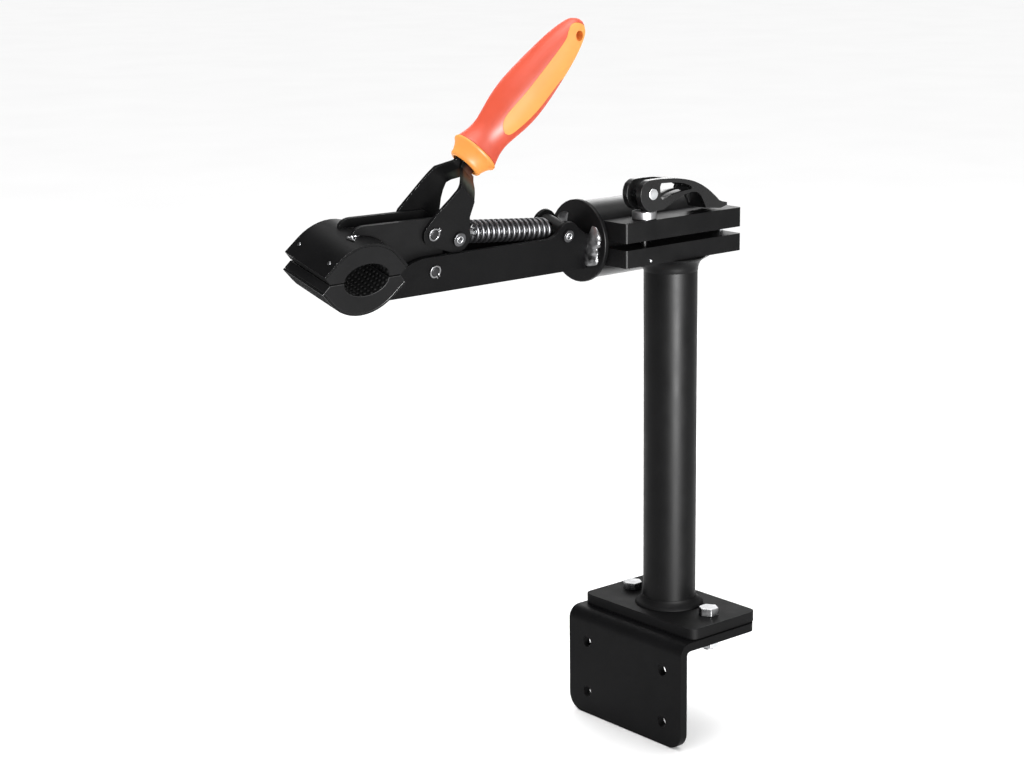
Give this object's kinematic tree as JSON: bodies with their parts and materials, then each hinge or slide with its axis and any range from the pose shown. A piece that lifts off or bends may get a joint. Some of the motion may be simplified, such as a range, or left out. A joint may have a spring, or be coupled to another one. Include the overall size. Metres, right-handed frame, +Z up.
{
  "type": "bench repair stand",
  "caption": "Bench-mounted bicycle repair stand: L bracket, column, rotating arm locked by a cam lever, and padded toggle jaws worked by a plastic-gripped handle over a spring-loaded push rod.",
  "frame": {"origin": "on the bracket's bench-side face, in the middle of its four fixing holes", "axes": "+Z up along the column, +Y into the bench, so the clamp arm points along -Y, and +X to the quick-release side"},
  "size_m": [0.154, 0.4627, 0.673],
  "materials": {
    "black_powder_coat": "satin powder coat",
    "black_sheet": "satin coated sheet",
    "cast_black": "semi-gloss coated casting",
    "blackened_steel": "blackened, lightly oiled",
    "zinc_steel": "bright zinc plate",
    "jaw_rubber": "matte moulded rubber",
    "grip_red": "fine-grained moulding",
    "grip_orange": "soft-touch moulding"
  },
  "bodies": {
    "stand": {"bench_bracket": "black_powder_coat", "base_plate": "black_powder_coat", "foot_bolt_left": "zinc_steel", "foot_bolt_right": "zinc_steel", "foot_nut_left": "zinc_steel", "foot_nut_right": "zinc_steel", "nut_washer_left": "zinc_steel", "nut_washer_right": "zinc_steel", "column": "black_powder_coat", "foot_weld": "black_powder_coat", "clamp_sleeve": "black_powder_coat", "upper_clamp_bar": "black_powder_coat", "lower_clamp_bar": "black_powder_coat", "bar_plug": "zinc_steel", "skewer": "zinc_steel", "cam_seat": "zinc_steel", "cam_barrel": "zinc_steel"},
    "cam_lever": {"cam_lever": "cast_black"},
    "arm": {"rotor": "black_powder_coat", "rotor_cap": "zinc_steel", "rotor_cap_screw": "zinc_steel", "rotor_anchor": "zinc_steel", "arm_plate_near": "black_powder_coat", "arm_plate_far": "black_powder_coat", "arm_floor": "black_powder_coat", "lower_cover": "black_sheet", "lower_pad": "jaw_rubber", "lower_rivet_a": "zinc_steel", "lower_rivet_b": "zinc_steel", "jaw_pin": "zinc_steel", "jaw_pin_ring_near": "blackened_steel", "jaw_pin_ring_far": "blackened_steel", "ear_screw_near": "blackened_steel", "ear_screw_far": "blackened_steel"},
    "upper_jaw": {"lever_plate_near": "black_powder_coat", "lever_plate_far": "black_powder_coat", "jaw_spacer": "zinc_steel", "upper_cover": "black_sheet", "upper_pad": "jaw_rubber", "upper_rivet_a": "zinc_steel", "upper_rivet_b": "zinc_steel"},
    "handle": {"fork_plate_near": "black_powder_coat", "fork_plate_far": "black_powder_coat", "handle_pin": "zinc_steel", "handle_pin_ring_near": "blackened_steel", "handle_pin_ring_far": "blackened_steel", "eye_screw": "blackened_steel", "eye_screw_nut": "blackened_steel", "collar": "grip_orange", "grip": "grip_red", "grip_inlay": "grip_orange"},
    "link": {"push_rod": "zinc_steel", "lock_nut": "zinc_steel"},
    "pusher": {"trunnion": "black_powder_coat", "spring": "blackened_steel"}
  },
  "joints": [
    {"name": "arm_roll", "type": "hinge", "parent": "stand", "child": "arm", "pos_m": [-0.035, 0.0517, 0.421], "axis": [0, 1, 0], "continuous": true},
    {"name": "cam_lever_swing", "type": "hinge", "parent": "stand", "child": "cam_lever", "pos_m": [0.013, 0.0057, 0.4655], "axis": [1, 0, 0], "range_deg": [0, 120]},
    {"name": "jaw_open", "type": "hinge", "parent": "arm", "child": "upper_jaw", "pos_m": [-0.03488, -0.2103, 0.42148], "axis": [-0.9681, 0, 0.2504], "range_deg": [0, 27]},
    {"name": "handle_swing", "type": "hinge", "parent": "upper_jaw", "child": "handle", "pos_m": [-0.02661, -0.2143, 0.45343], "axis": [0.9681, 0, -0.2504], "range_deg": [0, 85]},
    {"name": "link_swing", "type": "hinge", "parent": "handle", "child": "link", "pos_m": [-0.02849, -0.1863, 0.44617], "axis": [-0.9681, 0, 0.2504], "range_deg": [0, 71]},
    {"name": "trunnion_swing", "type": "hinge", "parent": "arm", "child": "pusher", "pos_m": [-0.03112, -0.0628, 0.43601], "axis": [-0.9681, 0, 0.2504], "range_deg": [0, 13]}
  ],
  "couplings": [
    {"joint": "jaw_open", "follows": "handle_swing", "ratio": 0.31579},
    {"joint": "link_swing", "follows": "handle_swing", "ratio": 0.8285},
    {"joint": "trunnion_swing", "follows": "handle_swing", "ratio": 0.14429}
  ]
}
